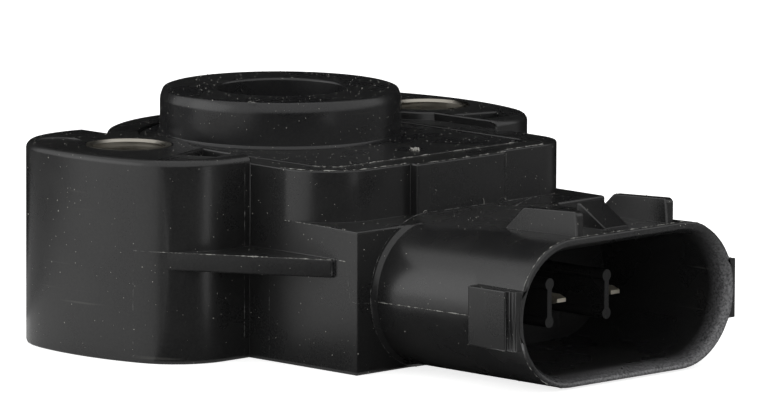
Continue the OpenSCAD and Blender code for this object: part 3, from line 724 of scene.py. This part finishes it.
def line_paths():
    """Fine unbroken parting lines and witness lines."""
    foot_z = 0.3
    pad_line_y = PAD_FRONT - 0.02
    ear_line = arc_path(EAR_CORNER, EAR_CORNER_R, 191.5, 215, lambda x, y: (x, y, WEB_TOP))
    return [
        [(BLOCK_SIDE, -24.3, WEB_TOP), (BLOCK_SIDE, -24.4, 9.6),
         (BLOCK_SIDE, -24.94, 6.6), (BLOCK_SIDE, -25.7, 6.5)],
        [(BLOCK_SIDE + 0.1, BLOCK_FRONT, 6.5), (-14, BLOCK_FRONT, 6.35)],
        [(-16.4, EAR_FRONT, foot_z), (-16.4, EAR_FRONT, 17.2)],
        [(BLOCK_SIDE, -14.72, foot_z), (BLOCK_SIDE, -14.72, 8.3)],
        stadium_path(SHELL_R + 0.3, SHELL_Z, BLOCK_FRONT - 0.03, 120, 262),
        [ear_line[0][:2] + (foot_z,)] + ear_line,
        [(PAD_RIGHT, pad_line_y, BLOCK_TOP + 0.2), (PAD_RIGHT, pad_line_y, RIM_Z - 0.1)],
        [(-1.52, BLOCK_FRONT - 13.4, 15.4), (-1.52, BLOCK_FRONT - 16.4, 13.55)],
    ]


def rim_paths():
    """Ragged edges of the socket's mouth, the bore and the base."""
    mouth_y = MOUTH_Y + 0.2

    def on_top(x, y):
        return (x, y, COLLAR_TOP - 0.1)

    return [
        stadium_path(SHELL_R, SHELL_Z, mouth_y, -80, 262),
        stadium_path(SOCKET_R, SOCKET_Z, mouth_y, -88, 268),
        [(SHELL_X - SHELL_HALF, mouth_y, 0.25), (SHELL_X + SHELL_HALF, mouth_y, 0.25)],
        arc_path((0, 0), BORE_R, 0, 360, on_top),
    ]


# Stage

def build_floor(stage):
    """A square of white paper, bright for the camera and greyer in reflections."""
    form = bmesh.new()
    bmesh.ops.create_grid(form, x_segments=1, y_segments=1, size=stage.floor_size / 2)
    mesh = bpy.data.meshes.new("studio_floor")
    form.to_mesh(mesh)
    form.free()
    floor = bpy.data.objects.new("studio_floor", mesh)
    bpy.context.collection.objects.link(floor)
    material, tree, shader = new_material("floor_paper")
    shader.inputs["Base Color"].default_value = linear(stage.floor_colour)
    shader.inputs["Roughness"].default_value = 0.9
    shader.inputs["Specular IOR Level"].default_value = 0.0
    ray = add_node(tree, "ShaderNodeLightPath").outputs
    mirrored = maths(tree, "MULTIPLY", ray["Is Glossy Ray"], stage.mirror_lift)
    lift = maths(tree, "MULTIPLY_ADD", ray["Is Camera Ray"], stage.floor_lift, mirrored)
    shader.inputs["Emission Color"].default_value = (1.0, 1.0, 1.0, 1.0)
    tree.links.new(lift, shader.inputs["Emission Strength"])
    mesh.materials.append(material)


def build_sky(stage):
    """Even light from all round, white where the camera or a reflection meets it."""
    world = bpy.data.worlds.new("studio_sky")
    bpy.context.scene.world = world
    world.use_nodes = True
    tree = world.node_tree
    tree.nodes.clear()
    ray = add_node(tree, "ShaderNodeLightPath").outputs
    seen = maths(tree, "MAXIMUM", ray["Is Camera Ray"], ray["Is Transmission Ray"])
    seen = maths(tree, "MAXIMUM", seen, ray["Is Glossy Ray"])
    level = ramp(tree, seen, 0.0, 1.0, stage.sky_level, 1.0)
    sky = add_node(tree, "ShaderNodeBackground", inputs={"Strength": level})
    sky.inputs["Color"].default_value = (1.0, 1.0, 1.0, 1.0)
    output = add_node(tree, "ShaderNodeOutputWorld")
    tree.links.new(sky.outputs["Background"], output.inputs["Surface"])


def add_lamp(name, place, target, size, power):
    """A soft rectangular lamp that points at a target. Places and sizes are in metres."""
    data = bpy.data.lights.new(name, "AREA")
    data.shape = "RECTANGLE"
    data.size = size[0]
    data.size_y = size[1]
    data.energy = power
    lamp = bpy.data.objects.new(name, data)
    bpy.context.collection.objects.link(lamp)
    aim = (Vector(target) - Vector(place)).to_track_quat("-Z", "Y")
    lamp.matrix_world = Matrix.Translation(place) @ aim.to_matrix().to_4x4()


def felt_card(name, form, colour, glow=0.0):
    """Makes a stage card that only reflections see. The cards set how dark each side of
    the black plastic looks."""
    mesh = bpy.data.meshes.new(name)
    form.to_mesh(mesh)
    form.free()
    card = bpy.data.objects.new(name, mesh)
    bpy.context.collection.objects.link(card)
    card.visible_camera = False
    card.visible_shadow = False
    card.visible_diffuse = False
    material, tree, shader = new_material(name + "_felt")
    shader.inputs["Base Color"].default_value = linear(colour)
    shader.inputs["Roughness"].default_value = 1.0
    shader.inputs["Specular IOR Level"].default_value = 0.0
    shader.inputs["Emission Color"].default_value = (1.0, 1.0, 1.0, 1.0)
    shader.inputs["Emission Strength"].default_value = glow
    mesh.materials.append(material)


def add_card(name, stage, start, end, near, height, colour):
    """A curved card, and the floor before it, between two directions in radians."""
    steps = max(2, round(abs(end - start) / math.radians(5)))
    rows = []
    form = bmesh.new()
    for i in range(steps + 1):
        angle = start + (end - start) * i / steps
        way = Vector((math.cos(angle), math.sin(angle), 0))
        rise = Vector((0, 0, CARD_Z * MM))
        rows.append([form.verts.new(way * near + rise),
                     form.verts.new(way * stage.tent_radius + rise),
                     form.verts.new(way * stage.tent_radius + Vector((0, 0, height)))])
    for one, two in zip(rows, rows[1:]):
        form.faces.new((one[0], one[1], two[1], two[0]))
        form.faces.new((one[1], one[2], two[2], two[1]))
    felt_card(name, form, colour)


def ring_sector(near, far, start, end):
    """Corners in millimetres of a piece of a ring, from radii in metres and directions."""
    ends = ((near, start), (near, end), (far, end), (far, start))
    return [(radius / MM * math.cos(angle), radius / MM * math.sin(angle))
            for radius, angle in ends]


def add_flat_card(name, corners, colour, glow=0.0):
    """A flat card on the floor, its corners in millimetres."""
    form = bmesh.new()
    form.faces.new([form.verts.new((x * MM, y * MM, 2 * CARD_Z * MM)) for x, y in corners])
    felt_card(name, form, colour, glow)


def view_axes(view):
    """Right, up and forward of the picture, before the two small aiming turns."""
    right = Vector((math.cos(view.yaw), -math.sin(view.yaw), 0))
    level = Vector((math.sin(view.yaw), math.cos(view.yaw), 0))
    forward = level * math.cos(view.pitch) + Vector((0, 0, -math.sin(view.pitch)))
    up = level * math.sin(view.pitch) + Vector((0, 0, math.cos(view.pitch)))
    turned_right = right * math.cos(view.roll) + up * math.sin(view.roll)
    turned_up = up * math.cos(view.roll) - right * math.sin(view.roll)
    return turned_right, turned_up, forward


def build_camera(view):
    """Sets the camera on its circle round the part and turns it by the two small angles."""
    right, up, forward = view_axes(view)
    place = Vector((0, 0, view.aim_height)) - forward * view.distance
    sight = forward + right * view.side_angle - up * view.drop_angle
    sight.normalize()
    right = sight.cross(up).normalized()
    up = right.cross(sight)
    data = bpy.data.cameras.new("photo_camera")
    data.lens = view.lens
    data.sensor_width = 36.0
    data.clip_start = 0.01
    data.clip_end = 20.0
    camera = bpy.data.objects.new("photo_camera", data)
    bpy.context.collection.objects.link(camera)
    turn = Matrix((right, up, -sight)).transposed().to_4x4()
    camera.matrix_world = Matrix.Translation(place) @ turn
    bpy.context.scene.camera = camera


# Operators

class SENSOR_OT_stage(bpy.types.Operator):
    """Sets the floor, the sky, the lamp, the cards and the camera."""

    bl_idname = "sensor.stage"
    bl_label = "Stage"

    def execute(self, context):
        stage = context.scene.sensor_stage
        build_floor(stage)
        build_sky(stage)
        middle = Vector((0, -0.01, 0.01))
        window = (stage.window_start + stage.window_end) / 2
        window_rise = 0.35
        reach = Vector((math.cos(window), math.sin(window), window_rise)) * stage.tent_radius
        window_size = (0.5, 0.4)
        add_lamp("window_lamp", middle + reach, middle, window_size, stage.window_power)
        near = stage.near_radius
        far = stage.bright_reach
        for name, start, end, radius, height, colour in (
                ("back_card", stage.back_start, stage.window_start, near,
                 stage.back_height, stage.black_card),
                ("back_floor_card", stage.window_start, stage.bright_start, far,
                 3 * CARD_Z * MM, stage.black_card),
                ("shade_card", stage.window_end, stage.shade_end, near,
                 stage.front_height, stage.shade_card),
                ("grey_card", stage.shade_end, math.tau + stage.back_start, near,
                 stage.front_height, stage.grey_card)):
            add_card(name, stage, start, end, radius, height, colour)
        add_flat_card("strip_card", STRIP, stage.strip_card, stage.strip_glow)
        corners = ring_sector(near, far, stage.window_start, stage.bright_start)
        add_flat_card("side_card", corners, stage.side_card)
        build_camera(context.scene.sensor_camera)
        context.scene.view_settings.view_transform = "Standard"
        return {"FINISHED"}


class SENSOR_OT_housing(bpy.types.Operator):
    """Dresses the moulded housing with its shell, ears and latch."""

    bl_idname = "sensor.housing"
    bl_label = "Housing"

    def execute(self, context):
        plastic = context.scene.sensor_plastic
        # The housing's skin carries the painted highlight on the socket's lip
        skin = moulded_nylon("moulded_glass_nylon", plastic.housing_colour,
                             plastic.haze_colour, plastic.dust_colour,
                             plastic.lip_highlight_colour)
        dress("housing", "housing_moulding", skin, HOUSING,
              plastic.edge_radius, plastic.lip_radius)
        return {"FINISHED"}


class SENSOR_OT_cover(bpy.types.Operator):
    """Dresses the cover with its locating collar."""

    bl_idname = "sensor.cover"
    bl_label = "Collar cover"

    def execute(self, context):
        plastic = context.scene.sensor_plastic
        skin = moulded_nylon("moulded_cover_nylon", plastic.cover_colour,
                             plastic.haze_colour, plastic.dust_colour)
        dress("collar_cover", "cover_moulding", skin, HOUSING,
              plastic.edge_radius, sharp=COLLAR_CORNER)
        return {"FINISHED"}


class SENSOR_OT_metal(bpy.types.Operator):
    """Finishes the bushings, terminals, solder, contacts and springs."""

    bl_idname = "sensor.metal"
    bl_label = "Metal pieces"

    def execute(self, context):
        coat(turned_steel("turned_bushing_steel"), "left_bushing", "right_bushing")
        coat(plated_metal("stamped_tinned_bronze", "D8CFBA", "FFFAEC", 0.5),
             "terminal_1", "terminal_2", "terminal_3")
        coat(plated_metal("cast_solder", "A9A8A4", "DCDBD7", 0.2),
             "solder_1", "solder_2", "solder_3")
        coat(plated_metal("drawn_spring_wire", "6C6E72", "A6A8AC", 0.3),
             "drive_clip", "return_spring")
        coat(plated_metal("stamped_contact_strip", "A8935E", "DCCB9B", 0.25), "wiper_contact")
        return {"FINISHED"}


class SENSOR_OT_inner(bpy.types.Operator):
    """Finishes the board, its printed films, the rotor and the seals."""

    bl_idname = "sensor.inner"
    bl_label = "Inner pieces"

    def execute(self, context):
        plastic = context.scene.sensor_plastic
        coat(matt_skin("fired_alumina_board", "CFCBBF", "E0DCD1", 0.3, 0.7), "element_board")
        coat(matt_skin("printed_carbon_film", "131313", "202020", 0.15, 0.6),
             "resistive_track")
        coat(matt_skin("printed_silver_film", "A8A498", "C9C5B8", 0.2, 0.5),
             "collector_track", "trace_1", "trace_2", "trace_3")
        coat(moulded_nylon("moulded_rotor_nylon", "1B1B1B", plastic.haze_colour,
                           plastic.dust_colour), "rotor")
        coat(matt_skin("moulded_seal_rubber", "0E0E0E", "181818", 0.2, 0.55), "shaft_seal")
        coat(matt_skin("cured_black_sealant", "0B0B0B", "151515", 0.5, 0.5), "cover_seal")
        return {"FINISHED"}


class SENSOR_OT_flash(bpy.types.Operator):
    """Adds the torn flash along edges, parting lines and rims."""

    bl_idname = "sensor.flash"
    bl_label = "Moulding flash"

    def execute(self, context):
        flash = context.scene.sensor_flash
        torn = matt_skin("torn_nylon_flash", flash.flash_colour, "C4C4BE", 0.12, 0.5)
        pressed = matt_skin("pressed_parting_line", "4A4A4A", "6E6E6C", 0.3, 0.4)
        group = thread_group()
        for name, paths, material, seed, width, stray in (
                ("edge_flash", flash_paths(), torn, flash.seed, 1.0, 1.0),
                ("rim_flash", rim_paths(), torn, flash.seed + 1, 0.9, 1.0),
                ("flash_curls", curl_paths(), torn, flash.seed + 2, 0.8, 1.0),
                ("parting_lines", line_paths(), pressed, flash.seed + 2, 0.7, 0.3)):
            grow(name, line_mesh(name + "_paths", paths), group, {
                "Step": flash.step, "Radius": flash.thickness * width,
                "Wander": flash.wander * stray, "Seed": float(seed),
                "Material": material}, HOUSING)
        return {"FINISHED"}


def exterior(face):
    """Whether dust can settle on a face, by its middle in millimetres."""
    x, y, z = face.calc_center_median() / MM
    seam = SEAM_HALF_W + 0.1
    in_seam = abs(x) < seam and y > SEAM_FRONT - 0.1 and math.hypot(x, max(y, 0)) < seam
    on_base = z < 0.05
    in_hole = math.hypot(abs(x) - HOLE_X, y) < BUSHING_R
    in_bore = math.hypot(x, y) < BORE_R + 0.28
    under_cover = in_seam and z < COVER_Z - 0.05
    under_block = -24 < y < -16 and abs(x) < 15 and z < 5
    inside_socket = y < -26 and abs(z - SOCKET_Z) < SOCKET_R - 0.1 and abs(x) < 12.9
    return not (on_base or in_hole or in_bore or under_cover or under_block or inside_socket)


def dusty_mesh(node):
    """A copy of a node's mesh that keeps the faces on which dust settles."""
    form = bmesh.new()
    form.from_mesh(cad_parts[node].data)
    hidden = [face for face in form.faces if not exterior(face)]
    bmesh.ops.delete(form, geom=hidden, context="FACES")
    mesh = bpy.data.meshes.new(node + "_dusty")
    form.to_mesh(mesh)
    form.free()
    return mesh


class SENSOR_OT_dust(bpy.types.Operator):
    """Scatters dust specks over the outside."""

    bl_idname = "sensor.dust"
    bl_label = "Dust"

    def execute(self, context):
        flash = context.scene.sensor_flash
        dust = matt_skin("settled_dust", "6F6E69", "E0DED6", 0.15, 0.7)
        group = speck_group()
        for node, share in (("housing", 0.7), ("collar_cover", 1.6)):
            grow("dust_on_" + node, dusty_mesh(node), group, {
                "Density": flash.speck_density * share, "Size": flash.speck_size,
                "Seed": flash.seed, "Material": dust}, HOUSING)
        patch = bpy.data.meshes.new("crumb_patch")
        patch.from_pydata([(x * MM, y * MM, (COVER_Z + 0.05) * MM) for x, y in CRUMB_PATCH],
                          [], [(0, 1, 2, 3)])
        grow("flash_crumbs", patch, group, {
            "Density": flash.crumb_density, "Size": flash.speck_size * 2.4,
            "Seed": flash.seed, "Material": dust}, HOUSING)
        return {"FINISHED"}


class SENSOR_PT_panel(bpy.types.Panel):
    """Lists the sensor's settings and the operators that make it."""

    bl_idname = "SENSOR_PT_panel"
    bl_label = "Throttle Position Sensor"
    bl_space_type = "VIEW_3D"
    bl_region_type = "UI"
    bl_category = "Sensor"

    def draw(self, context):
        layout = self.layout
        for name in SETTINGS:
            group = getattr(context.scene, name)
            box = layout.box()
            for key in group.__annotations__:
                box.prop(group, key)
        for operator in OPERATORS:
            layout.operator(operator.bl_idname)


SETTINGS = {
    "sensor_camera": CameraSettings,
    "sensor_stage": StageSettings,
    "sensor_plastic": PlasticSettings,
    "sensor_flash": FlashSettings,
}
OPERATORS = (SENSOR_OT_stage, SENSOR_OT_housing, SENSOR_OT_cover, SENSOR_OT_metal,
             SENSOR_OT_inner, SENSOR_OT_flash, SENSOR_OT_dust)


def register():
    """Registers the settings, the operators and the panel."""
    for group in SETTINGS.values():
        bpy.utils.register_class(group)
    for operator in OPERATORS:
        bpy.utils.register_class(operator)
    bpy.utils.register_class(SENSOR_PT_panel)
    for name, group in SETTINGS.items():
        setattr(bpy.types.Scene, name, bpy.props.PointerProperty(type=group))


def unregister():
    """Takes back what register did, in the reverse order."""
    for name in SETTINGS:
        delattr(bpy.types.Scene, name)
    bpy.utils.unregister_class(SENSOR_PT_panel)
    for operator in reversed(OPERATORS):
        bpy.utils.unregister_class(operator)
    for group in reversed(SETTINGS.values()):
        bpy.utils.unregister_class(group)


def main():
    """Runs every operator."""
    register()
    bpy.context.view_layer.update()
    bpy.ops.sensor.stage()
    bpy.ops.sensor.housing()
    bpy.ops.sensor.cover()
    bpy.ops.sensor.metal()
    bpy.ops.sensor.inner()
    bpy.ops.sensor.flash()
    bpy.ops.sensor.dust()


if __name__ == "__main__":
    main()
